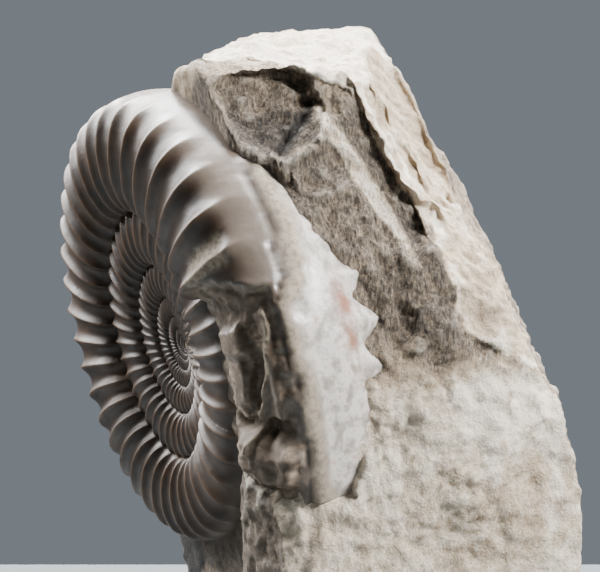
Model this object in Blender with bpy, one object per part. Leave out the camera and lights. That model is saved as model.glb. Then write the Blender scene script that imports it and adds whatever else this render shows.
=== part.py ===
"""Ammonite fossil standing in its block of limestone.

Two solids: the coiled, ribbed shell, and the broken block that still holds it.
The frame is in metres with +Z up and the flat base on Z = 0. X runs to the right, Y away
from the side that shows the coil, and the origin is under the middle of the object's box.
A point of the coil is given by its angle round the coil's axis, clockwise from the top,
its radius from that axis, and its height along the axis towards the open side.
"""
import math

import bmesh
import bpy
from mathutils import Matrix, Vector

MM = 0.001

# Pose of the coil in the block.
COIL_CENTRE = Vector((-23.9, 4.4, 57.2)) * MM
FACE_TURN = math.radians(64.3)
FACE_LEAN = math.radians(9.4)
AXIS = Vector((
    -math.sin(FACE_TURN) * math.cos(FACE_LEAN),
    -math.cos(FACE_TURN) * math.cos(FACE_LEAN),
    -math.sin(FACE_LEAN),
))
FORWARD = Vector((math.cos(FACE_TURN), -math.sin(FACE_TURN), 0.0))
UPWARD = AXIS.cross(FORWARD)

# Growth: a logarithmic spiral that ends where the body chamber is broken off.
TOP_RADIUS = 51.4 * MM
WHORL_GROWTH = 1.65
RIBS_PER_WHORL = 39
STEPS_PER_RIB = 2
STEPS_PER_WHORL = STEPS_PER_RIB * RIBS_PER_WHORL
WHORLS = 3
END_ANGLE = math.radians(111.0)
RIB_HEIGHT = 0.035

# Half section of a whorl as (radius, height) in fractions of the outer radius.
SEAM = (0.590, 0.088)
FLANK = ((0.648, 0.180), (0.765, 0.210), (0.885, 0.188))
VENTER = ((0.958, 0.130), (0.992, 0.062), (1.0, 0.0))
FLANK_RIBS = (0.6, 1.0, 1.0)
VENTER_RIBS = (0.8, 0.4, 0.2)
HUB_HEIGHT = 1.5 * MM

# Hollow where the open flank of the body chamber has broken away.
BREAK_ANGLE = math.radians(88.0)
BREAK_RADIUS = 47.0 * MM
BREAK_HEIGHT = 17.5 * MM
BREAK_RADII = Vector((22.0, 9.0, 9.0)) * MM

# Seat of the coil in the block: the same outline without ribs, and a little larger.
CLEARANCE = 0.3 * MM
SEAT_TURN = math.radians(0.6)
SEAT_FLANK = ((0.765, -0.210), (0.885, -0.190), (0.958, -0.132), (0.992, -0.064), (1.0, 0.0))
SEAT_TOP = 40.0 * MM
SEAT_HUB = 3.0 * MM

# The broken block in millimetres, before the coil's seat is cut: its reaches, then its corners.
RIGHT = 52.0
BACK = 50.5
TOP = 121.0
FRONT_FOOT = -48.0
SIDE_FRONT = -22.0
SIDE_BACK = 36.0
LEFT_SHOULDER = -40.0
BACK_BEVEL = 44.0
RIGHT_FACE = (
    (RIGHT, SIDE_FRONT, 0.0), (RIGHT, SIDE_FRONT, 36.0), (RIGHT, SIDE_BACK, 40.0), (RIGHT, SIDE_BACK, 0.0),
)
FRESH_EDGE = ((45.0, -24.0, 55.0), (28.0, -36.0, 65.0), (24.0, -30.0, 80.0), (8.0, -24.0, 108.0))
FRONT = (
    (0.0, FRONT_FOOT, 0.0), (5.0, -46.0, 34.0), (-8.0, -44.0, 40.0), (-10.0, -38.0, 94.0),
    (-18.0, -32.0, 100.0), (-28.0, -10.0, 106.0),
)
CROWN = (
    (-20.0, SIDE_FRONT, 112.0), (-20.0, 8.0, 115.0), (-12.0, 24.0, 119.0), (14.0, 28.0, TOP), (16.0, 20.0, 117.0),
)
REAR = (
    (38.0, 32.0, 76.0), (28.0, BACK, 72.0), (-24.0, BACK, 60.0), (40.0, 48.0, 0.0), (-16.0, BACK_BEVEL, 0.0),
    (LEFT_SHOULDER, BACK_BEVEL, 84.0), (LEFT_SHOULDER, BACK_BEVEL, 62.0), (-28.0, 16.0, 0.0),
)
BLOCK_CORNERS = RIGHT_FACE + FRESH_EDGE + FRONT + CROWN + REAR
RECESS_CENTRE = Vector((-12.0, -36.0, 101.0)) * MM
RECESS_RADII = Vector((10.0, 6.0, 11.0)) * MM

SHELL_COLOUR = (0.075, 0.060, 0.048, 1.0)
SHELL_ROUGHNESS = 0.34
ROCK_COLOUR = (0.330, 0.305, 0.275, 1.0)
ROCK_ROUGHNESS = 0.88


def clear_scene():
    """Remove every object, so the model starts from nothing."""
    for item in list(bpy.data.objects):
        bpy.data.objects.remove(item, do_unlink=True)


def make_collection(name):
    """Return a new collection linked to the scene."""
    collection = bpy.data.collections.new(name)
    bpy.context.scene.collection.children.link(collection)
    return collection


def make_material(name, colour, roughness):
    """Return a plain material of one colour."""
    material = bpy.data.materials.new(name)
    material.use_nodes = True
    shader = material.node_tree.nodes["Principled BSDF"]
    shader.inputs["Base Color"].default_value = colour
    shader.inputs["Roughness"].default_value = roughness
    shader.inputs["Metallic"].default_value = 0.0
    material.diffuse_color = colour
    return material


def make_object(name, mesh_builder, collection, material=None):
    """Turn a bmesh into an object with its faces pointing out."""
    bmesh.ops.recalc_face_normals(mesh_builder, faces=mesh_builder.faces)
    mesh = bpy.data.meshes.new(name)
    mesh_builder.to_mesh(mesh)
    mesh_builder.free()
    item = bpy.data.objects.new(name, mesh)
    collection.objects.link(item)
    if material:
        mesh.materials.append(material)
    return item


def coil_point(angle, radius, height):
    """World position of a point given in the coil's own terms."""
    outward = UPWARD * math.cos(angle) + FORWARD * math.sin(angle)
    return COIL_CENTRE + outward * radius + AXIS * height


def whorl_radius(angle):
    """Outer radius of the spiral, which grows by a fixed ratio each turn."""
    return TOP_RADIUS * WHORL_GROWTH ** (angle / math.tau)


def step_angle(step):
    """Angle of a section; the last one is where the shell is broken off."""
    steps_left = WHORLS * STEPS_PER_WHORL - step
    return END_ANGLE - steps_left * math.tau / STEPS_PER_WHORL


def shell_vertex(mesh_builder, step, section_point, strength, side):
    """Vertex of one section, lifted on every second step to make a rib."""
    angle = step_angle(step)
    on_rib = step % STEPS_PER_RIB == 0
    lift = 1.0 + RIB_HEIGHT * strength if on_rib else 1.0
    fraction, height = section_point
    radius = whorl_radius(angle) * lift
    return mesh_builder.verts.new(coil_point(angle, radius * fraction, side * radius * height))


def flank_row(mesh_builder, step, side):
    """Vertices of one flank; the first turn rises slowly out of the cone of seams."""
    rise = min(1.0, step / STEPS_PER_WHORL)
    seam_slope = SEAM[1] / SEAM[0]
    row = []
    for (fraction, height), strength in zip(FLANK, FLANK_RIBS):
        flat = seam_slope * fraction
        point = (fraction, flat + (height - flat) * rise)
        row.append(shell_vertex(mesh_builder, step, point, strength * rise, side))
    return row


def link_rows(mesh_builder, first, second):
    """Join two rows of vertices with one quad for each pair of neighbours."""
    for index in range(len(first) - 1):
        corners = (first[index], first[index + 1], second[index + 1], second[index])
        mesh_builder.faces.new(corners)


def link_fan(mesh_builder, hub, row):
    """Join a row of vertices to one point."""
    for index in range(len(row) - 1):
        mesh_builder.faces.new((hub, row[index], row[index + 1]))


def build_shell(collection, cutters):
    """Loft the coil: flanks between neighbouring seams, and a whole last whorl."""
    mesh_builder = bmesh.new()
    last = WHORLS * STEPS_PER_WHORL
    outer_start = last - STEPS_PER_WHORL
    seams = {}
    flanks = {}
    for side in (1, -1):
        seams[side] = [shell_vertex(mesh_builder, step, SEAM, 0.0, side) for step in range(last + 1)]
        flanks[side] = [flank_row(mesh_builder, step, side) for step in range(last + 1)]
        for step in range(outer_start):
            rows = []
            for edge in (step, step + 1):
                outer_seam = seams[side][edge + STEPS_PER_WHORL]
                rows.append([seams[side][edge], *flanks[side][edge], outer_seam])
            link_rows(mesh_builder, *rows)
        hub = mesh_builder.verts.new(coil_point(0.0, 0.0, side * HUB_HEIGHT))
        link_fan(mesh_builder, hub, seams[side][:STEPS_PER_WHORL + 1])
        link_fan(mesh_builder, hub, [seams[side][0], *flanks[side][0], seams[side][STEPS_PER_WHORL]])

    venters = {}
    whole_rows = {}
    for step in range(outer_start, last + 1):
        arch = [(point, strength, 1) for point, strength in zip(VENTER, VENTER_RIBS)]
        arch += [(point, strength, -1) for point, strength in zip(VENTER[-2::-1], VENTER_RIBS[-2::-1])]
        venters[step] = [shell_vertex(mesh_builder, step, *item) for item in arch]
        near = [seams[1][step], *flanks[1][step]]
        far = [seams[-1][step], *flanks[-1][step]]
        whole_rows[step] = near + venters[step] + far[::-1]
        if step > outer_start:
            link_rows(mesh_builder, whole_rows[step - 1], whole_rows[step])
    under = [flanks[1][outer_start][-1], *venters[outer_start], flanks[-1][outer_start][-1]]
    mesh_builder.faces.new(whole_rows[last] + under[::-1])

    material = make_material("shell_brown_calcite", SHELL_COLOUR, SHELL_ROUGHNESS)
    shell = make_object("ammonite_shell", mesh_builder, collection, material)
    cut_with(shell, build_break(cutters))
    return shell


def build_seat(collection):
    """Cutter for the block: the coil's outline, closed towards the open side."""
    mesh_builder = bmesh.new()
    far_hub = mesh_builder.verts.new(coil_point(0.0, 0.0, -SEAT_HUB))
    near_hub = mesh_builder.verts.new(coil_point(0.0, 0.0, SEAT_TOP + SEAT_HUB))
    rows = []
    for step in range(STEPS_PER_WHORL + 1):
        angle = END_ANGLE + SEAT_TURN - math.tau + step * math.tau / STEPS_PER_WHORL
        radius = whorl_radius(angle) * (1.0 + RIB_HEIGHT)
        ring = [(radius * fraction + CLEARANCE, radius * height - CLEARANCE) for fraction, height in SEAT_FLANK]
        ring.append((radius + CLEARANCE, SEAT_TOP))
        rows.append([mesh_builder.verts.new(coil_point(angle, *point)) for point in ring])
    for first, second in zip(rows, rows[1:] + rows[:1]):
        link_rows(mesh_builder, first, second)
        mesh_builder.faces.new((far_hub, first[0], second[0]))
        mesh_builder.faces.new((near_hub, first[-1], second[-1]))
    return make_object("coil_seat", mesh_builder, collection)


def build_hollow(name, centre, radii, axes, collection):
    """Egg-shaped cutter with its radii along three given axes."""
    mesh_builder = bmesh.new()
    bmesh.ops.create_icosphere(mesh_builder, subdivisions=2, radius=1.0)
    turn = Matrix(axes).transposed()
    for vertex in mesh_builder.verts:
        vertex.co = centre + turn @ (vertex.co * radii)
    return make_object(name, mesh_builder, collection)


def build_break(collection):
    """Cutter for the broken flank, lying along the last part of the whorl."""
    outward = UPWARD * math.cos(BREAK_ANGLE) + FORWARD * math.sin(BREAK_ANGLE)
    onward = FORWARD * math.cos(BREAK_ANGLE) - UPWARD * math.sin(BREAK_ANGLE)
    centre = coil_point(BREAK_ANGLE, BREAK_RADIUS, BREAK_HEIGHT)
    return build_hollow("chamber_break", centre, BREAK_RADII, (onward, outward, AXIS), collection)


def build_recess(collection):
    """Cutter for the hollow that was broken out of the front above the coil."""
    axes = Matrix.Identity(3)
    return build_hollow("recess", RECESS_CENTRE, RECESS_RADII, axes, collection)


def cut_with(item, cutter):
    """Subtract a cutter that stays live and hidden."""
    cutter.hide_render = True
    cutter.display_type = "WIRE"
    boolean = item.modifiers.new(cutter.name, "BOOLEAN")
    boolean.operation = "DIFFERENCE"
    boolean.solver = "EXACT"
    boolean.object = cutter


def build_block(collection, cutters):
    """Close the block's corners with a hull, then cut the seat and the recess."""
    mesh_builder = bmesh.new()
    for corner in BLOCK_CORNERS:
        mesh_builder.verts.new(Vector(corner) * MM)
    hull = bmesh.ops.convex_hull(mesh_builder, input=mesh_builder.verts)
    inside = [item for item in hull["geom_interior"] if isinstance(item, bmesh.types.BMVert)]
    bmesh.ops.delete(mesh_builder, geom=inside, context="VERTS")
    material = make_material("limestone_grey", ROCK_COLOUR, ROCK_ROUGHNESS)
    block = make_object("matrix_rock", mesh_builder, collection, material)
    cut_with(block, build_seat(cutters))
    cut_with(block, build_recess(cutters))
    return block


def main():
    """Build the whole object."""
    clear_scene()
    parts = make_collection("ammonite_fossil")
    cutters = make_collection("cutters")
    build_shell(parts, cutters)
    build_block(parts, cutters)


main()
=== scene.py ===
# %% [markdown]
# # An ammonite in its stone
# This lesson builds the finished look of a fossil: a coiled shell of polished brown calcite,
# still held on edge in the broken block of limestone that it was found in. The plain solids
# come from the CAD frame. Every surface here is worked out with numpy on a grid of two
# parameters, and then covered with node materials.

# %% Load the frame
import functools
import math

import bmesh
import bpy
import numpy as np
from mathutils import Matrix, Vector


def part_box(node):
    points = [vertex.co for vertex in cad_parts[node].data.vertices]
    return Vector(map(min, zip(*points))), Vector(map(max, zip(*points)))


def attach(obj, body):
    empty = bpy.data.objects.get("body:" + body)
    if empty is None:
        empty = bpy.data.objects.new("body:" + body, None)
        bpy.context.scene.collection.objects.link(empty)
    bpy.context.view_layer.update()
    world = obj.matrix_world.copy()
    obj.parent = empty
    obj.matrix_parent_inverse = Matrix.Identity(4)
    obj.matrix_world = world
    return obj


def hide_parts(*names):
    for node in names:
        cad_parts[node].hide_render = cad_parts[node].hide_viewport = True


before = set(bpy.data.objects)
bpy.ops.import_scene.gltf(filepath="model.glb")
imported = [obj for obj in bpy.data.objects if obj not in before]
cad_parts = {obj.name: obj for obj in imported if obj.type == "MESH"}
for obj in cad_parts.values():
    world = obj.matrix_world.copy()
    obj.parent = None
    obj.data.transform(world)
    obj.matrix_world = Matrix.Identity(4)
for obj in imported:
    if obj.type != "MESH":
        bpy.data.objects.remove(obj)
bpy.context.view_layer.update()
MM = 0.001
coil_low, coil_high = (np.array(corner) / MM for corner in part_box("ammonite_shell"))
block_low, block_high = (np.array(corner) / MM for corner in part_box("matrix_rock"))
block_size = block_high - block_low
print("coil box, mm:", coil_low.round(1), coil_high.round(1))
print("block box, mm:", block_low.round(1), block_high.round(1))

# %% [markdown]
# ## The coil's own frame
# An ammonite grows flat, so its whole shape is told by an angle round one axis, a radius from
# it and a height along it. The disc is turned to the left and leans down a little. Its centre
# and its size are fractions of the CAD coil's box, so the two always agree.

# %% Where the coil stands
CENTRE_IN_BOX = np.array([0.438, 0.5624, 0.4385])
FACE_TURN = math.radians(64.3)
FACE_LEAN = math.radians(9.4)
AXIS = np.array([
    -math.sin(FACE_TURN) * math.cos(FACE_LEAN),
    -math.cos(FACE_TURN) * math.cos(FACE_LEAN),
    -math.sin(FACE_LEAN),
])
FORWARD = np.array([math.cos(FACE_TURN), -math.sin(FACE_TURN), 0.0])
UPWARD = np.cross(AXIS, FORWARD)

coil_size = coil_high - coil_low
coil_centre = coil_low + CENTRE_IN_BOX * coil_size
TOP_RADIUS = 0.56 * coil_size[2]
WHORL_GROWTH = 1.65
RIBS_PER_WHORL = 39
END_ANGLE = 111.0
print("coil centre, mm:", coil_centre.round(1), "radius at the top, mm:", round(TOP_RADIUS, 1))


def whorl_radius(angle):
    """Outer radius of the spiral in mm: it grows by one fixed ratio each full turn (degrees in)."""
    return TOP_RADIUS * WHORL_GROWTH ** (angle / 360.0)


def coil_to_world(angle, radius, height):
    """Centre, plus the radius along the turned up-direction, plus the height along the axis."""
    turn = np.radians(angle)[..., None]
    outward = UPWARD * np.cos(turn) + FORWARD * np.sin(turn)
    return coil_centre + outward * radius[..., None] + AXIS * height[..., None]


def world_to_coil(points):
    """The same three numbers back: dot products with the coil's directions."""
    offset = points - coil_centre
    up, ahead, height = offset @ UPWARD, offset @ FORWARD, offset @ AXIS
    return np.degrees(np.arctan2(ahead, up)), np.hypot(up, ahead), height


# %% [markdown]
# ## Noise
# Broken stone and old shell are irregular at every size. Two building blocks are enough:
# gradient noise for soft waves, and a cell noise whose squared distance makes the shallow
# dishes with sharp rims that stone shows where it has been struck.

# %% Noise on whole arrays
def scramble(cells, seed):
    """Three repeatable numbers from 0 to 1 for each whole-number cell, by integer mixing."""
    x, y, z = (cells[..., axis].astype(np.int64) for axis in range(3))
    mixed = (x * 73856093) ^ (y * 19349663) ^ (z * 83492791) ^ (seed * 2654435761)
    out = []
    for turn in range(3):
        mixed = (mixed ^ (mixed >> 13)) * 1274126177
        mixed = mixed & 0x7FFFFFFF
        mixed = mixed ^ (mixed >> 16)
        out.append((mixed & 0xFFFF) / 65535.0)
    return np.stack(out, -1)


def soft_noise(points, size, seed=0):
    """Gradient noise from -1 to 1: slopes at the eight cell corners, blended with a smooth step."""
    scaled = points / size
    base = np.floor(scaled)
    part = scaled - base
    fade = part ** 3 * (part * (part * 6.0 - 15.0) + 10.0)
    total = np.zeros(points.shape[:-1])
    for corner in range(8):
        step = np.array([corner & 1, (corner >> 1) & 1, (corner >> 2) & 1], float)
        slope = scramble(base + step, seed) * 2.0 - 1.0
        weight = np.prod(np.where(step > 0, fade, 1.0 - fade), -1)
        total += weight * ((part - step) * slope).sum(-1)
    return total * 1.6


def rough_noise(points, size, octaves, seed=0):
    """Sum of soft noises, each half the size and half the height of the one before."""
    total = np.zeros(points.shape[:-1])
    for octave in range(octaves):
        total += soft_noise(points, size / 2 ** octave, seed + octave) / 2 ** octave
    return total


def chip_noise(points, size, seed=0):
    """Squared distance to the nearest of the points scattered one to a cell: dishes with sharp rims."""
    scaled = points / size
    base = np.floor(scaled)
    nearest = np.full(points.shape[:-1], 9.0)
    for neighbour in np.ndindex(3, 3, 3):
        cell = base + (np.array(neighbour) - 1.0)
        gap = ((cell + scramble(cell, seed) - scaled) ** 2).sum(-1)
        nearest = np.minimum(nearest, gap)
    return nearest


def smooth_step(low, high, value):
    """Rises from 0 to 1 between low and high, with flat ends."""
    part = np.clip((value - low) / (high - low), 0.0, 1.0)
    return part * part * (3.0 - 2.0 * part)


sample = np.random.default_rng(1).uniform(0, 100, (2000, 3))
print("soft noise spread:", soft_noise(sample, 7.0).std().round(3))
print("chip noise mean:", chip_noise(sample, 7.0).mean().round(3))

# %% [markdown]
# ## From a grid to a closed mesh
# Every piece is a grid whose columns run round in a ring. The ring at each end is closed with
# one centre point, so the skin is sealed. Values that a finish needs later, such as how worn a
# spot is, travel with the mesh as attributes.

# %% Mesh helper
def closed_mesh(name, grid, attributes):
    """Quads between neighbouring rows and columns, columns wrapping round, and a fan at each end."""
    rows, columns = grid.shape[:2]
    points = np.concatenate([grid.reshape(-1, 3), grid[:1].mean(1), grid[-1:].mean(1)]) * MM
    index = np.arange(rows * columns).reshape(rows, columns)
    beside = np.roll(index, -1, 1)
    quads = np.stack([index[:-1], beside[:-1], beside[1:], index[1:]], -1).reshape(-1, 4)
    first = np.stack([np.full(columns, rows * columns), beside[0], index[0]], -1)
    last = np.stack([np.full(columns, rows * columns + 1), index[-1], beside[-1]], -1)
    fans = np.concatenate([first, last])
    corners = points[np.concatenate([quads[:, [0, 1, 2]], quads[:, [0, 2, 3]], fans])]
    volume = np.einsum("ij,ij->i", corners[:, 0], np.cross(corners[:, 1], corners[:, 2])).sum()
    if volume < 0:
        quads, fans = quads[:, ::-1], fans[:, ::-1]
    mesh = bpy.data.meshes.new(name)
    mesh.vertices.add(len(points))
    mesh.vertices.foreach_set("co", points.ravel())
    mesh.loops.add(quads.size + fans.size)
    mesh.loops.foreach_set("vertex_index", np.concatenate([quads.ravel(), fans.ravel()]))
    mesh.polygons.add(len(quads) + len(fans))
    starts = np.concatenate([np.arange(len(quads)) * 4, quads.size + np.arange(len(fans)) * 3])
    mesh.polygons.foreach_set("loop_start", starts)
    mesh.polygons.foreach_set("use_smooth", np.ones(len(starts), bool))
    mesh.update(calc_edges=True)
    mesh.validate()
    for key, values in attributes.items():
        layer = mesh.attributes.new(key, "FLOAT", "POINT")
        ends = np.array([values[0].mean(), values[-1].mean()])
        layer.data.foreach_set("value", np.concatenate([values.ravel(), ends]).astype(np.float32))
    piece = bpy.data.objects.new(name, mesh)
    bpy.context.scene.collection.objects.link(piece)
    print(name, "triangles:", len(quads) * 2 + len(fans))
    return piece

# %% [markdown]
# ## The shell
# A whorl is one closed section carried round the spiral. The section is broad and rounded, with
# a steep wall down to the seam of the whorl inside it. Sharp ribs with wide hollow valleys run
# out across the flank and fade on the smooth outer edge. The last part lost its open flank, so
# the surface drops there to the rough stone and to the casts inside the body chamber.

# %% Section and ribs
INNER_EDGE = 0.535
HALF_WIDTH = 0.212
SQUARENESS = 0.86
RIB_HEIGHT = 0.030
RIB_SHARPNESS = 2.3
BURIED_WIDENING = 0.34


def band(value, low, high, soft):
    """1 between low and high, fading to 0 over a soft distance outside them."""
    return smooth_step(low - soft, low + soft, value) * (1.0 - smooth_step(high - soft, high + soft, value))


def rib_wave(angle, turn):
    """Height of the ribs from 0 to 1: a sharp crest once a rib, with a concave valley between."""
    lean = 2.0 * np.sin(np.radians(turn)) ** 2
    phase = (angle - lean + 1.3) * RIBS_PER_WHORL / 360.0 + 0.2 * smooth_step(10.0, 70.0, angle)
    away = np.abs(phase - np.round(phase)) * 2.0
    return np.maximum(1.0 - np.sqrt(away ** 2 + 0.006), 0.0) ** RIB_SHARPNESS / 0.84


def rib_strength(angle, turn):
    """Ribs start at the shoulder of the inner wall, are full on the flank and fade on the outer edge."""
    side = (turn + 180.0) % 360.0 - 180.0
    near = smooth_step(8.0, 60.0, side) * (1.0 - smooth_step(128.0, 165.0, side))
    far = smooth_step(30.0, 62.0, -side) * (1.0 - smooth_step(100.0, 150.0, -side))
    return near + (0.7 + 0.6 * smooth_step(38.0, 58.0, angle)) * far


def whorl_section(turn):
    """Rounded oblong: powers of cosine and sine give radius and height as fractions of the outer radius."""
    cosine, sine = np.cos(np.radians(turn)), np.sin(np.radians(turn))
    middle, half = (1.0 + INNER_EDGE) / 2.0, (1.0 - INNER_EDGE) / 2.0
    radius = middle + half * np.sign(cosine) * np.abs(cosine) ** SQUARENESS
    height = HALF_WIDTH * np.sign(sine) * np.abs(sine) ** SQUARENESS
    return radius, height


def far_swelling(angle, turn):
    """The last part of the body chamber is wider on the side that is still in the stone."""
    return 1.0 + BURIED_WIDENING * smooth_step(15.0, 60.0, angle) * (np.sin(np.radians(turn)) < 0.0)


# %% Breakage of the body chamber
def ridge_line(angle):
    """Turn of the ridge: it climbs from 27 to 77 degrees, ever faster, over the last stretch."""
    return 27.0 + 50.0 * np.clip((angle - 75.0) / 29.0, 0.0, 1.0) ** 1.5


def crack_line(angle):
    """Turn of the crack: a slow climb, one sharp step up, and a slow fall."""
    climb = 8.0 * np.clip((angle - 40.0) / 30.0, 0.0, 1.0) - 8.0
    return climb + 14.0 * smooth_step(68.0, 78.0, angle) - 4.0 * np.clip((angle - 80.0) / 30.0, 0.0, 1.0)


def chamber_break(angle, turn, ragged):
    """Depth in fractions of the radius: a sum of steps, each a band in angle and turn with ragged edges."""
    a, t = angle + 1.2 * ragged, turn + 5.0 * ragged
    start = 63.5 + 0.10 * np.clip(95.0 - t, 0.0, 80.0)
    lost = smooth_step(start, start + 1.8, a) * smooth_step(15.0, 20.0, t)
    lost *= 1.0 - smooth_step(148.0, 156.0, t)
    over = t - ridge_line(a)
    depth = 0.035 + 0.032 * smooth_step(start + 2.5, start + 6.0, a) * band(t, 36.0, 150.0, 5.0)
    depth -= 0.030 * band(a, 76.5, 83.0, 1.2) * band(t, 60.0, 95.0, 5.0)
    depth -= 0.020 * band(a, 83.5, 94.0, 1.2) * band(t, 70.0, 92.0, 4.0)
    depth += 0.030 * band(a, 83.0, 94.5, 1.2) * band(over, 4.0, 22.0, 3.0)
    depth -= 0.012 * band(a, 81.0, 97.0, 1.0) * band(over, -32.0, -4.0, 3.0)
    depth += 0.050 * band(a, 96.5, 100.0, 0.8) * band(t, 12.0, 110.0, 5.0)
    depth -= 0.050 * band(a, 101.0, 108.0, 1.8) * band(t, 20.0, 90.0, 12.0)
    crest = np.exp(-(over / 3.5) ** 2) * band(a, 75.0, 104.0, 1.5)
    depth -= 0.018 * crest
    scar = band(a, 58.5, 65.0, 0.8) * band(t, 40.0, 88.0, 4.0)
    smooth = band(a, 81.0, 97.0, 1.0) * band(over, -32.0, -4.0, 3.0)
    smooth = np.maximum(smooth, band(a, 76.5, 94.0, 1.2) * band(t, 60.0, 95.0, 5.0))
    edge = np.clip(2.4 * lost * (1.0 - lost) * (0.5 + ragged) + 0.8 * crest * lost, 0.0, 1.0)
    rough = np.maximum(lost * (1.0 - 0.8 * smooth), scar)
    return depth * lost + 0.008 * scar, lost, rough, np.maximum(edge, 0.8 * scar)


def crust_strip(angle, turn, ragged):
    """Strip of crust along the outer edge, and the hairline crack beside it (both from 0 to 1)."""
    off = turn + 3.0 * ragged - crack_line(angle)
    reach = smooth_step(36.0, 46.0, angle)
    return band(off, -13.0, -2.0, 1.8) * reach, np.exp(-(off / 1.6) ** 2) * reach


turns_seen = np.linspace(-180.0, 180.0, 7)
print("section radius at", turns_seen.round(0), ":", whorl_section(turns_seen)[0].round(2))

# %% Coil surface
RIB_REACH = 0.21
WHORLS_INNER = 5.0
WHORLS_ALL = 8.0


def whorl_grid(first, last, columns_per_rib, turns):
    """Section points carried round the spiral, lifted by the ribs and sunk where the shell is lost."""
    count = int(round((last - first) * RIBS_PER_WHORL / 360.0 * columns_per_rib))
    angle, turn = np.meshgrid(np.linspace(first, last, count), turns, indexing="ij")
    size = whorl_radius(angle)
    radius, height = whorl_section(turn)
    height = height * far_swelling(angle, turn)
    plain = coil_to_world(angle, radius * size, height * size)
    ragged = rough_noise(plain, 6.0, 3, seed=11)
    ribs = rib_wave(angle, turn) ** np.where(turn < 0.0, 0.5, 1.0) * rib_strength(angle, turn)
    depth, lost, rough, edge = chamber_break(angle, turn, ragged)
    crust, crack = crust_strip(angle, turn, ragged)
    wear = soft_noise(plain, 3.0, seed=21) * 0.5 + 0.5
    grain = rough_noise(plain, 1.6, 2, seed=31)
    lift = RIB_HEIGHT * ribs * (0.92 + 0.08 * wear) * (1.0 - lost)
    lift += 0.0016 * ragged * (1.0 - lost) - depth + 0.006 * crust - 0.010 * crack
    lift += lost * rough * (0.007 * grain + 0.006 * chip_noise(plain, 4.0, seed=5))
    middle = (1.0 + INNER_EDGE) / 2.0
    out_radius = middle + (radius - middle) * (1.0 + lift / RIB_REACH)
    out_height = height * (1.0 + lift / HALF_WIDTH)
    grid = coil_to_world(angle, out_radius * size, out_height * size)
    gloss = 1.0 - smooth_step(24.0, 46.0, np.abs(turn) + 5.0 * ragged - 14.0 * ribs)
    past_crust = crack_line(angle) - 12.0 - turn - 3.0 * ragged
    bare = smooth_step(-2.0, 3.0, past_crust) * smooth_step(18.0, 40.0, angle)
    rust = band(turn + 4.0 * ragged, -40.0, -26.0, 4.0) * band(angle, 72.0, 90.0, 4.0) * (0.7 + ragged)
    return grid, {
        "crest": ribs * (1.0 - lost),
        "lost": lost,
        "rough": rough,
        "bare": bare,
        "gloss": gloss,
        "crack": crack,
        "rust": np.clip(rust, 0.0, 1.0),
        "crust": np.clip(crust * (1.0 - lost) + edge, 0.0, 1.0),
    }


def uneven_turns(count):
    """Turns round the section, closer together on the open side than on the buried one."""
    even = np.linspace(-180.0, 180.0, count, endpoint=False)
    return even - 22.0 * np.sin(np.radians(even - 90.0))


last_whorl, last_marks = whorl_grid(END_ANGLE - 362.0, END_ANGLE, 26, uneven_turns(92))
outer_coil = closed_mesh("outer_whorl", last_whorl, last_marks)
inner_start = END_ANGLE - 360.0 * WHORLS_INNER
inner_whorls, inner_marks = whorl_grid(inner_start, END_ANGLE - 355.0, 14, uneven_turns(42))
inner_coil = closed_mesh("inner_whorls", inner_whorls, inner_marks)
first_start = END_ANGLE - 360.0 * WHORLS_ALL
first_whorls, first_marks = whorl_grid(first_start, END_ANGLE - 360.0 * 4.98, 6, uneven_turns(24))
first_coil = closed_mesh("first_whorls", first_whorls, first_marks)

# %% [markdown]
# ## The block
# The limestone was broken, not cut, so it is a lump of flat fracture faces. The CAD rock's hull
# gives their planes, which are then looked up along rays from a point inside: the
# nearest plane gives the surface. Each plane is made uneven first, so the edges wander. Where
# stone was cleared from the coil, a ray is followed back until it is in stone again, which
# leaves a tight, ragged joint round the shell.

# %% Hull planes of the block
SMALLEST_FACE = 12.0
OFFSET_SCALE = 50.0


def hull_planes(corners):
    """Outward normals and offsets of a convex hull's faces, each flat face once, slivers left out.

    Triangles are one face where normal and offset round alike; offsets are scaled to round as normals do.
    """
    maker = bmesh.new()
    for corner in corners:
        maker.verts.new(corner)
    bmesh.ops.convex_hull(maker, input=maker.verts)
    bmesh.ops.recalc_face_normals(maker, faces=maker.faces)
    faces = sorted(maker.faces, key=lambda face: -face.calc_area())
    normals = np.array([face.normal for face in faces])
    offsets = np.array([face.normal.dot(face.verts[0].co) for face in faces])
    areas = np.array([face.calc_area() for face in faces])
    maker.free()
    rounded = np.c_[normals, offsets / OFFSET_SCALE].round(2)
    _, first, group = np.unique(rounded, axis=0, return_index=True, return_inverse=True)
    kept = first[np.bincount(group.ravel(), areas) > SMALLEST_FACE]
    return normals[kept], offsets[kept]


rock_corners = [corner.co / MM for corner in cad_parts["matrix_rock"].data.vertices]
face_normals, face_offsets = hull_planes(rock_corners)
print("fracture faces:", len(face_normals))

# %% Rays from inside the block
BLOCK_HEART = np.array([9.0, -2.0, 54.0])
SHELL_SKIN = 0.6
RIM_LIMITS = (
    (-249.0, 1.0), (-195.0, 1.0), (-188.0, 0.04), (-150.0, 0.0), (-140.0, -0.06), (-25.0, -0.06),
    (-14.0, -0.02), (42.0, -0.02), (60.0, -0.24), (98.0, -0.24), (111.0, -0.07),
)
PEDESTAL_EDGE = -11.8
PEDESTAL_HEIGHT = 2.5


def block_rays(rows, columns):
    """Unit directions on a grid of height and compass angle, drawn closer together on the front."""
    lift = np.linspace(-1.0, 1.0, rows)
    tilt = np.radians(89.0) * lift
    even = np.linspace(-np.pi, np.pi, columns, endpoint=False)
    compass = even - 0.62 * np.sin(even) - np.radians(100.0)
    tilt, compass = np.meshgrid(tilt, compass, indexing="ij")
    return np.stack([np.cos(tilt) * np.cos(compass), np.cos(tilt) * np.sin(compass), np.sin(tilt)], -1)


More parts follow.
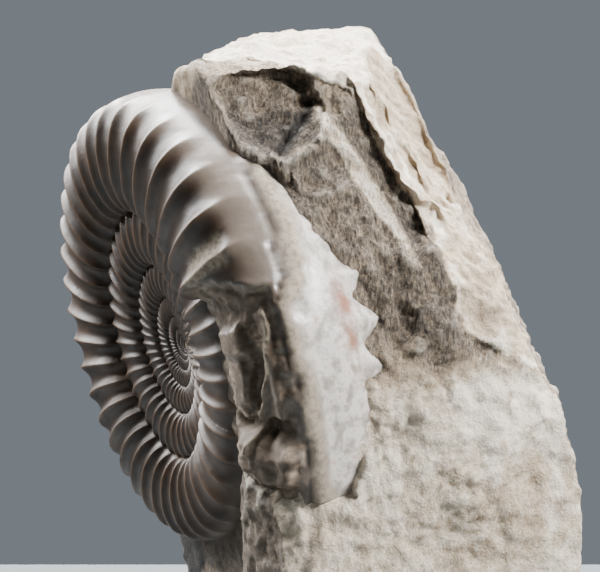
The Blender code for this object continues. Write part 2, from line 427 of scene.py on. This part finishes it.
def fracture_radius(rays, waves):
    """Nearest plane along each ray, every plane made uneven by slow noise; and that plane's normal."""
    reach = np.full(rays.shape[:2], 200.0)
    face = np.zeros(rays.shape[:2], int)
    for number, (normal, offset) in enumerate(zip(face_normals, face_offsets)):
        facing = rays @ normal
        uneven = 0.0 if normal[2] < -0.99 else waves[number % len(waves)]
        depth = offset - normal @ BLOCK_HEART + uneven
        distance = np.where(facing > 0.02, depth / np.maximum(facing, 0.02), 200.0)
        face = np.where(distance < reach, number, face)
        reach = np.minimum(reach, distance)
    return reach, face_normals[face]


def cleared_for_coil(points, ragged):
    """True where no stone is left: above the shell's skin, or outside its rim above the joint line."""
    angle, radius, height = world_to_coil(points)
    angle = np.where(angle > END_ANGLE, angle - 360.0, angle)
    size = whorl_radius(angle)
    share = radius / size
    middle = (1.0 + INNER_EDGE) / 2.0
    across = np.clip((share - middle) / (1.0 - middle), 0.0, 1.0)
    rim = HALF_WIDTH * np.maximum(1.0 - across ** 2.3, 0.0) ** 0.43 * size - SHELL_SKIN
    rim = np.where(angle > 58.0, np.minimum(rim, 0.07 * size), rim)
    skin = np.where(share > middle, rim, np.minimum(2.0, 0.06 * radius))
    limit = np.interp(angle + 2.5 * ragged, *np.array(RIM_LIMITS).T) * size + 0.5 * ragged
    behind_edge = (angle < -150.0) & (points[..., 0] < PEDESTAL_EDGE + 0.5 * ragged)
    limit = np.where(behind_edge, np.minimum(limit, PEDESTAL_HEIGHT), limit)
    return height > np.where(share < 0.985, skin, limit)


def back_into_stone(rays, reach, ragged):
    """Walk each ray inwards to the first point in stone, then halve the last step five times."""
    found = ~cleared_for_coil(BLOCK_HEART + rays * reach[..., None], ragged)
    under = ~found
    stop = reach.copy()
    for share in np.linspace(0.99, 0.05, 72):
        points = BLOCK_HEART + rays * (reach * share)[..., None]
        fresh = ~found & ~cleared_for_coil(points, ragged)
        stop = np.where(fresh, reach * share, stop)
        found |= fresh
    low, high = stop, np.minimum(stop + reach * 0.0132, reach)
    for _ in range(5):
        middle = (low + high) / 2.0
        solid = ~cleared_for_coil(BLOCK_HEART + rays * middle[..., None], ragged)
        low, high = np.where(solid, middle, low), np.where(solid, high, middle)
    return np.where(under, low, reach), under


# %% Fractures on the front
def on_front(across, up):
    """Place (x, z) in mm on the front, from its shares of the block's width and height."""
    return block_low[[0, 2]] + np.array([across, up]) * block_size[[0, 2]]


LEDGE_TOP, LEDGE_END = on_front(0.45, 0.88), on_front(0.65, 0.65)
CREASE_END = on_front(0.38, 0.80)
SLAB_LEFT, SLAB_RIGHT = on_front(0.40, 0.80), on_front(0.47, 0.82)
RING_CENTRE = on_front(0.72, 0.47)
OLD_FRACTURE_EDGE = ((55.0, 45.0), (65.0, 28.0), (80.0, 24.0), (108.0, 8.0), (114.0, -10.0))


def along_line(flat, start, end):
    """Share of the way along a line, and signed distance from it to its right."""
    run = end - start
    length = np.hypot(*run)
    offset = flat - start
    return (offset @ run) / length ** 2, (offset[..., 1] * run[0] - offset[..., 0] * run[1]) / length


def dish(flat, centre, radii):
    """1 in the middle of an oval, falling off as a parabola to 0 on its rim."""
    gap = ((flat - np.array(centre)) / np.array(radii)) ** 2
    return np.maximum(1.0 - gap.sum(-1), 0.0)


def front_relief(points, ragged):
    """Depth in mm that each spot on the front is set back: hollow, ledge, crease and dishes."""
    flat = points[..., [0, 2]] + 0.8 * ragged[..., None]
    relief = 7.0 * np.sqrt(dish(flat, on_front(0.35, 0.86), (11.0, 9.0)))
    relief += 2.2 * dish(flat, on_front(0.45, 0.78), (6.5, 5.0)) ** 0.7
    relief += 2.4 * dish(flat, on_front(0.65, 0.70), (3.6, 7.5)) ** 0.7
    relief += 1.2 * dish(flat, on_front(0.60, 0.60), (9.0, 12.0))
    share, side = along_line(flat, LEDGE_TOP, LEDGE_END)
    relief += 3.0 * smooth_step(-2.0, 1.6, side) * band(share, 0.0, 0.97, 0.05)
    share, side = along_line(flat, LEDGE_TOP, CREASE_END)
    relief += 1.8 * np.exp(-(side / 0.9) ** 2) * band(share, 0.0, 1.0, 0.1)
    ring = np.hypot(*np.moveaxis(flat - RING_CENTRE, -1, 0))
    relief += 0.5 * np.exp(-((ring - 2.9) / 0.5) ** 2) * (flat[..., 0] < RING_CENTRE[0])
    return relief


def painted_ledge_highlight_and_crease_shade(points):
    """Painted highlight along the lit edges of the ledge and the slab (positive), painted shade down in the
    crease (negative).
    """
    flat = points[..., [0, 2]]
    share, side = along_line(flat, LEDGE_TOP, LEDGE_END)
    half = 1.5 * np.sin(np.pi * np.clip(share, 0.0, 1.0)) ** 0.6
    lines = 0.40 * smooth_step(-0.3, 0.3, half - np.abs(side + 0.4))
    share, side = along_line(flat, SLAB_LEFT, SLAB_RIGHT)
    lines += 0.25 * np.exp(-(side / 0.6) ** 2) * band(share, 0.0, 1.0, 0.06)
    share, side = along_line(flat, LEDGE_TOP, CREASE_END)
    return lines - 0.30 * np.exp(-(side / 1.1) ** 2) * band(share, 0.0, 1.0, 0.06)


def blob(points, centre, size):
    """1 at the centre, falling off round it as a bell curve of the distance over the size."""
    return np.exp(-(((points - centre) / size) ** 2).sum(-1))


def old_front(points, ragged):
    """1 on the dark old fracture, 0 past the edge where the fresh right and top faces begin."""
    edge = np.interp(points[..., 2], *np.array(OLD_FRACTURE_EDGE).T)
    inside = edge + 0.9 * ragged - points[..., 0]
    kept = smooth_step(-0.5, 0.5, inside) * smooth_step(52.0, 66.0, points[..., 2] + 5.0 * ragged)
    return kept * (points[..., 2] + 0.8 * ragged < 113.2), np.exp(-((inside + 1.4) / 1.3) ** 2)


def grid_normals(points):
    """Unit normals of a grid whose columns wrap round, from its two directions of slope."""
    down = np.gradient(points, axis=0)
    across = np.roll(points, -1, 1) - np.roll(points, 1, 1)
    normal = np.cross(across, down)
    return normal / np.maximum(np.linalg.norm(normal, axis=-1, keepdims=True), 1e-9)


def blurred(values, times):
    """Average with the four grid neighbours, a number of times."""
    for _ in range(times):
        around = np.roll(values, 1, 1) + np.roll(values, -1, 1)
        above = np.concatenate([values[:1], values[:-1]]) + np.concatenate([values[1:], values[-1:]])
        values = (around + above + 2.0 * values) / 6.0
    return values


print("ledge runs, mm:", LEDGE_TOP.round(1), "to", LEDGE_END.round(1))

# %% Block surface
FACE_WAVES = 6
WAVE_HEIGHT = 1.7
WAVE_SIZE = 26.0
block_directions = block_rays(300, 330)
waves = []
for number in range(FACE_WAVES):
    shifted = block_directions * 55.0 + 40.0 * number
    waves.append(WAVE_HEIGHT * rough_noise(shifted, WAVE_SIZE, 5, seed=40 + number))
block_reach, face_seen = fracture_radius(block_directions, waves)
hull_points = BLOCK_HEART + block_directions * block_reach[..., None]
joint_ragged = rough_noise(hull_points, 5.0, 3, seed=71)
block_reach, under_coil = back_into_stone(block_directions, block_reach, joint_ragged)
stepped = np.clip(np.abs(block_reach - blurred(block_reach, 1)) / 0.4, 0.0, 1.0)
block_reach += blurred(stepped, 1) * (blurred(block_reach, 3) - block_reach)
block_points = BLOCK_HEART + block_directions * block_reach[..., None]
print("share of rays that end under the coil:", under_coil.mean().round(3))

# %% Which way each spot faces
normals = grid_normals(block_points)
normals *= np.sign((normals * block_directions).sum(-1).mean())
open_face = blurred(1.0 - under_coil.astype(float), 1) ** 2
slope = blurred(face_seen, 2)
to_right = smooth_step(0.45, 0.65, slope[..., 0])
to_top = smooth_step(0.5, 0.75, slope[..., 2])
to_left = smooth_step(0.3, 0.6, -slope[..., 0])
low_down = smooth_step(76.0, 46.0, block_points[..., 2])
in_front = smooth_step(0.0, 0.25, -slope[..., 1])
old, fresh_edge = old_front(block_points, joint_ragged)
old *= in_front
print("share of the grid on the old fracture:", old.mean().round(3))

# %% Relief and grit
KNOB, KNOB_PIT = np.array([-22.0, -12.0, 107.0]), np.array([-22.0, -15.0, 106.0])
angle, radius, height = world_to_coil(block_points)
angle = np.where(angle > END_ANGLE, angle - 360.0, angle)
past_rim = np.maximum(radius - whorl_radius(angle), 0.0)
under_flank = np.minimum(height + 2.0, 0.0)
clear_of_coil = smooth_step(0.3, 4.5, np.hypot(past_rim, under_flank))
facing = smooth_step(0.2, 0.5, -blurred(normals, 16)[..., 1])
sunk = (front_relief(block_points, joint_ragged) * facing + 0.9 * old) * open_face * clear_of_coil
block_points = block_points + np.array([0.0, 1.0, 0.0]) * sunk[..., None]
chips = 1.9 * (chip_noise(block_points, 14.0, seed=3) - 0.35)
chips += chip_noise(block_points, 5.5, seed=4) - 0.35
grit = 0.7 * rough_noise(block_points, 3.2, 3, seed=61)
standing = smooth_step(0.0, 3.0, block_points[..., 2])
knob = 1.6 * blob(block_points, KNOB, 4.0) - 2.2 * blob(block_points, KNOB_PIT, 1.8)
calm = 1.0 - 0.55 * to_right - 0.35 * low_down * (1.0 - to_right)
push = ((grit - chips * calm) * (0.25 + 0.75 * clear_of_coil) + knob) * open_face * standing
block_points = block_points + normals * push[..., None]
block_points = np.clip(block_points, block_low, block_high)
on_base = block_directions[..., 2] * block_reach < -BLOCK_HEART[2] + 0.4
block_points[..., 2] = np.where(on_base, 0.0, block_points[..., 2])
print("deepest relief, mm:", sunk.max().round(1))

# %% Tone of the stone, with painted light and shade
convex = ((block_points - blurred(block_points, 6)) * normals).sum(-1)
bruise = smooth_step(0.05, 0.45, convex) * open_face
# Painted light: faces turned up are 0.25 lighter, as the overhead lamp makes them. Faces not turned to the
# front are 0.20 darker, and the lower front is 0.12 lighter.
stone_tone_and_painted_light = 0.66 + 0.25 * to_top + 0.12 * low_down * in_front - 0.20 * (1.0 - in_front) - 0.27 * old
# Random tone from slow noise; painted shade darkens the deep hollow on the old front.
stone_tone_and_painted_light += 0.08 * soft_noise(block_points, 24.0, seed=81) - 0.12 * smooth_step(3.0, 6.0, sunk) * old
# Painted highlight on the ledge and slab edges and painted shade in the crease, on front-facing spots.
stone_tone_and_painted_light += painted_ledge_highlight_and_crease_shade(block_points) * facing + 0.22 * fresh_edge * in_front * (0.6 + joint_ragged)
# Painted shade: low faces turned to the left are darkened by 0.45.
stone_tone_and_painted_light -= 0.45 * to_left * smooth_step(60.0, 40.0, block_points[..., 2])
scars = smooth_step(0.30, 0.70, soft_noise(block_points, 20.0, seed=83)) * in_front * (1.0 - old)
stone_tone_and_painted_light += 0.5 * scars * (0.7 + joint_ragged)
block_marks = {"bruise": bruise, "old": old, "stone_tone_and_painted_light": np.clip(stone_tone_and_painted_light, 0.0, 1.0)}
block = closed_mesh("stone_block", block_points, block_marks)

# %% [markdown]
# ## Finishes
# The shell is calcite that was cleaned and polished: brown and glossy, tan on the worn rib
# crests, greyer along its smooth outer edge, and pale where it is bare. The block is broken
# limestone, dull and granular, grey brown on old faces and almost white where it was bruised.
# Stone has an IOR near 1.5 to 1.6, so both are plain dielectrics that differ in colour,
# roughness and bump. The finest grains are drawn coarser than real ones, so that they show.

# %% Material helpers
NOISE = "ShaderNodeTexNoise"
SUM = "ShaderNodeMath"
RAMP = "ShaderNodeValToRGB"
BLEND = "ShaderNodeMix"
BUMP = "ShaderNodeBump"
ATTRIBUTE = "ShaderNodeAttribute"
PER_METRE = 1000.0


def linear(hex_colour):
    """sRGB hex to linear light, which is what a shader socket expects."""
    parts = [int(hex_colour[start:start + 2], 16) / 255.0 for start in (1, 3, 5)]
    return (*[part / 12.92 if part <= 0.04045 else ((part + 0.055) / 1.055) ** 2.4 for part in parts], 1.0)


def add_node(tree, kind, inputs=None, output=0, stops=(), **settings):
    """One node with its settings, inputs (value, hex colour or socket) and ramp stops; gives one output."""
    node = tree.nodes.new(kind)
    for key, value in settings.items():
        setattr(node, key, value)
    for key, value in (inputs or {}).items():
        if isinstance(value, bpy.types.NodeSocket):
            tree.links.new(value, node.inputs[key])
        else:
            node.inputs[key].default_value = linear(value) if isinstance(value, str) else value
    for number, (position, colour) in enumerate(stops):
        if number >= len(node.color_ramp.elements):
            node.color_ramp.elements.new(position)
        element = node.color_ramp.elements[number]
        element.position = position
        element.color = linear(colour) if isinstance(colour, str) else (colour, colour, colour, 1.0)
    return node.outputs[output]


def new_material(name):
    """Empty node material with its shader and the object's own coordinates."""
    material = bpy.data.materials.new(name)
    material.use_nodes = True
    tree = material.node_tree
    place = add_node(tree, "ShaderNodeTexCoord", output="Object")
    return material, tree, tree.nodes["Principled BSDF"], place


print("mid grey #808080 in linear light:", round(linear("#808080")[0], 3))

# %% Polished calcite shell
def shell_finish():
    """Brown gloss, tan on worn crests, pale grey where bared, dull where the shell is lost."""
    material, tree, shader, place = new_material("polished_brown_calcite")
    add = functools.partial(add_node, tree)
    names = ("crest", "rough", "lost", "bare", "crust", "gloss", "rust", "crack")
    marks = {name: add(ATTRIBUTE, output="Fac", attribute_name=name) for name in names}
    # Grain sizes in mm, each with its detail and roughness.
    grains = ((0.9, 6.0, 0.55), (3.0, 6.0, 0.65), (9.0, 4.0, 0.55), (4.0, 4.0, 0.55), (2.5, 4.0, 0.55))
    fine, streaks, clouds, haze, swell = (
        add(NOISE, {"Vector": place, "Scale": PER_METRE / size, "Detail": detail, "Roughness": roughness})
        for size, detail, roughness in grains
    )

    body = add(RAMP, {"Fac": clouds}, stops=((0.3, "#26190e"), (0.55, "#372617"), (0.8, "#503823")))
    centred = add(SUM, {0: streaks, 1: 0.5}, operation="SUBTRACT")
    edge = add(SUM, {0: centred, 1: 0.9, 2: marks["crest"]}, operation="MULTIPLY_ADD")
    worn = add(RAMP, {"Fac": edge}, stops=((0.60, 0.0), (1.0, 1.0)))
    bared_stops = ((0.3, "#7f7872"), (0.45, "#a0988f"), (0.56, "#cbc5bd"), (0.70, "#b3988a"))
    bared = add(RAMP, {"Fac": streaks}, stops=bared_stops)
    broken = add(RAMP, {"Fac": streaks}, stops=((0.3, "#42372c"), (0.55, "#6d5e4f"), (0.75, "#a3927e")))
    spotted = add(RAMP, {"Fac": fine}, stops=((0.35, 0.35), (0.6, 1.0)))

    # Layers of colour from the bottom up: where, how strongly, and which colour.
    layers = (
        (worn, 0.6, "#6b4f36"), (marks["gloss"], 0.75, "#6f645a"), (marks["bare"], 1.0, bared),
        (marks["rust"], 0.9, "#80492c"), (marks["lost"], 1.0, broken), (marks["crust"], spotted, "#a39582"),
        (marks["crack"], 0.85, "#2a1e16"),
    )
    colour = body
    for where, strength, layer in layers:
        share = add(SUM, {0: where, 1: strength}, operation="MULTIPLY")
        colour = add(BLEND, {0: share, 6: colour, 7: layer}, output=2, data_type="RGBA")
    tree.links.new(colour, shader.inputs["Base Color"])

    sheen = add(RAMP, {"Fac": haze}, stops=((0.3, 0.42), (0.7, 0.58)))
    roughness = add(SUM, {0: marks["gloss"], 1: -0.14, 2: sheen}, operation="MULTIPLY_ADD")
    for name, least in (("rough", 0.75), ("crust", 0.8)):
        dull = add(SUM, {0: marks[name], 1: least}, operation="MULTIPLY")
        roughness = add(SUM, {0: roughness, 1: dull}, operation="MAXIMUM")
    tree.links.new(roughness, shader.inputs["Roughness"])
    shader.inputs["IOR"].default_value = 1.55

    relief = {}
    for height, depth_mm in ((swell, 0.12), (fine, 0.05)):
        settings = {"Height": height, "Distance": depth_mm * MM, "Strength": 0.6, **relief}
        relief = {"Normal": add(BUMP, settings)}
    tree.links.new(relief["Normal"], shader.inputs["Normal"])
    return material


shell_material = shell_finish()
print(shell_material.name, "nodes:", len(shell_material.node_tree.nodes))

# %% Broken limestone
def stone_finish():
    """Dull granular stone, dark on the old front, pale where it is fresh, whitened on bruised edges; the
    tone also holds painted light on top faces and painted shade in the hollow, the crease and on low left
    faces.
    """
    material, tree, shader, place = new_material("fractured_grey_limestone")
    add = functools.partial(add_node, tree)
    names = ("stone_tone_and_painted_light", "bruise", "old")
    stone_tone_and_painted_light, bruise, old = (add(ATTRIBUTE, output="Fac", attribute_name=name) for name in names)
    squeezed = {"Vector": place, "Rotation": (0.0, math.radians(-28.0), 0.0), "Scale": (1.0, 1.0, 0.28)}
    slanted = add("ShaderNodeMapping", squeezed)
    # Where each grain is read, its size in mm, its detail and its roughness.
    grains = (
        (slanted, 0.6, 5.0, 0.75), (place, 6.0, 8.0, 0.7), (place, 0.7, 3.0, 0.7), (place, 2.2, 6.0, 0.75),
    )
    fibres, cloudy, speck, flecks = (
        add(NOISE, {"Vector": where, "Scale": PER_METRE / size, "Detail": detail, "Roughness": roughness})
        for where, size, detail, roughness in grains
    )

    mixed = stone_tone_and_painted_light
    for pattern, strength in ((cloudy, 0.45), (flecks, 0.55), (speck, 0.3)):
        centred = add(SUM, {0: pattern, 1: 0.5}, operation="SUBTRACT")
        mixed = add(SUM, {0: centred, 1: strength, 2: mixed}, operation="MULTIPLY_ADD")
    centred = add(SUM, {0: fibres, 1: 0.5}, operation="SUBTRACT")
    combed = add(SUM, {0: old, 1: centred}, operation="MULTIPLY")
    mixed = add(SUM, {0: combed, 1: 1.5, 2: mixed}, operation="MULTIPLY_ADD")
    tone_stops = (
        (0.0, "#231f1c"), (0.25, "#494139"), (0.45, "#786b5d"), (0.68, "#b09c83"), (0.95, "#f0e4d2"),
    )
    colour = add(RAMP, {"Fac": mixed}, stops=tone_stops)
    patchy = add(RAMP, {"Fac": cloudy}, stops=((0.42, 0.0), (0.60, 1.0)))
    whitened = add(SUM, {0: bruise, 1: patchy}, operation="MULTIPLY")
    share = add(SUM, {0: whitened, 1: 0.7}, operation="MULTIPLY")
    colour = add(BLEND, {0: share, 6: colour, 7: "#c9c2b5"}, output=2, data_type="RGBA")
    tree.links.new(colour, shader.inputs["Base Color"])
    shader.inputs["Roughness"].default_value = 0.9
    shader.inputs["IOR"].default_value = 1.5

    flakes = {"Vector": place, "Scale": PER_METRE / 5.0, "Detail": 7.0, "Roughness": 0.62, "Lacunarity": 2.1}
    flaky = add(NOISE, flakes, noise_type="RIDGED_MULTIFRACTAL", normalize=True)
    relief = {}
    for height, depth_mm in ((flaky, 2.2), (flecks, 1.0), (combed, 1.2), (speck, 0.3)):
        settings = {"Height": height, "Distance": depth_mm * MM, "Strength": 1.0, **relief}
        relief = {"Normal": add(BUMP, settings)}
    tree.links.new(relief["Normal"], shader.inputs["Normal"])
    return material


stone_material = stone_finish()
for piece in (outer_coil, inner_coil, first_coil):
    piece.data.materials.append(shell_material)
block.data.materials.append(stone_material)
print(stone_material.name, "nodes:", len(stone_material.node_tree.nodes))

# %% [markdown]
# ## Back to the frame
# The three surfaces of the coil take the place of the CAD shell, and the block that of the CAD
# rock. Nothing moves, so all of them ride on the one body.

# %% Tie the pieces to the frame
for piece in (outer_coil, inner_coil, first_coil):
    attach(piece, "root")
    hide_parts("ammonite_shell")
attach(block, "root")
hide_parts("matrix_rock")
print("pieces tied to the frame:", [piece.name for piece in (outer_coil, inner_coil, first_coil, block)])

# %% [markdown]
# ## Floor, light and camera
# A plain table top and three soft lamps, the strongest above and behind, which lights the top
# of the block and leaves its old front in shade. The camera looks down a little.

# %% Floor, light and camera
def aim(item, place, target):
    """Put an item at a place, looking at a target (metres)."""
    item.location = place
    item.rotation_euler = (Vector(target) - Vector(place)).to_track_quat("-Z", "Y").to_euler()


def soft_light(name, place, target, width, depth, power):
    """Rectangular area light."""
    lamp = bpy.data.lights.new(name, "AREA")
    lamp.shape = "RECTANGLE"
    lamp.size, lamp.size_y = width, depth
    lamp.energy = power
    item = bpy.data.objects.new(name, lamp)
    bpy.context.scene.collection.objects.link(item)
    aim(item, place, target)
    return item


bpy.ops.mesh.primitive_plane_add(size=1.0, location=(0.0, 0.0, 0.0))
floor = bpy.context.object
floor.name = "table_top"
FLOOR_WIDTH, FLOOR_DEPTH, PAST_BLOCK = 2.0, 0.4, 0.004
floor.scale = (FLOOR_WIDTH, FLOOR_DEPTH, 1.0)
floor.location = (0.0, float(block_high[1]) * MM + PAST_BLOCK - FLOOR_DEPTH / 2.0, 0.0)
floor_material, _, floor_shader, _ = new_material("pale_table")
# A mid grey: the strong lamps turn it pale in the picture.
floor_shader.inputs["Base Color"].default_value = linear("#4b5052")
floor_shader.inputs["Roughness"].default_value = 0.6
floor.data.materials.append(floor_material)

world = bpy.data.worlds.new("studio")
world.use_nodes = True
sky = world.node_tree
toward = add_node(sky, "ShaderNodeTexCoord", output="Generated")
depth = add_node(sky, "ShaderNodeSeparateXYZ", {"Vector": toward}, output="Y")
shade = add_node(sky, RAMP, {"Fac": depth}, stops=((0.0, "#4a4b4b"), (0.35, "#757c83")))
sky.links.new(shade, sky.nodes["Background"].inputs["Color"])
bpy.context.scene.world = world

soft_light("key", (0.04, 0.32, 0.60), (0.0, 0.0, 0.09), 0.80, 0.50, 40.0)
soft_light("left", (-0.50, 0.32, 0.50), (0.0, 0.0, 0.08), 0.60, 0.50, 24.0)
soft_light("front", (0.52, -0.24, 0.48), (0.0, 0.0, 0.05), 0.20, 0.20, 15.0)

camera_data = bpy.data.cameras.new("camera")
camera_data.sensor_width = 36.0
camera_data.lens = 120.0
camera = bpy.data.objects.new("camera", camera_data)
bpy.context.scene.collection.objects.link(camera)
bpy.context.scene.camera = camera
VIEW_LIFT = math.radians(6.0)
VIEW_DISTANCE = 0.4
VIEW_RIGHT, VIEW_BACK, VIEW_DROP = -1.2, 5.6, 52.0
view_centre = np.array([VIEW_RIGHT, VIEW_BACK, block_high[2] - VIEW_DROP]) * MM
camera.location = view_centre + VIEW_DISTANCE * np.array([0.0, -math.cos(VIEW_LIFT), math.sin(VIEW_LIFT)])
camera.rotation_euler = (math.radians(90.0) - VIEW_LIFT, 0.0, 0.0)
print("camera, m:", [round(value, 3) for value in camera.location])
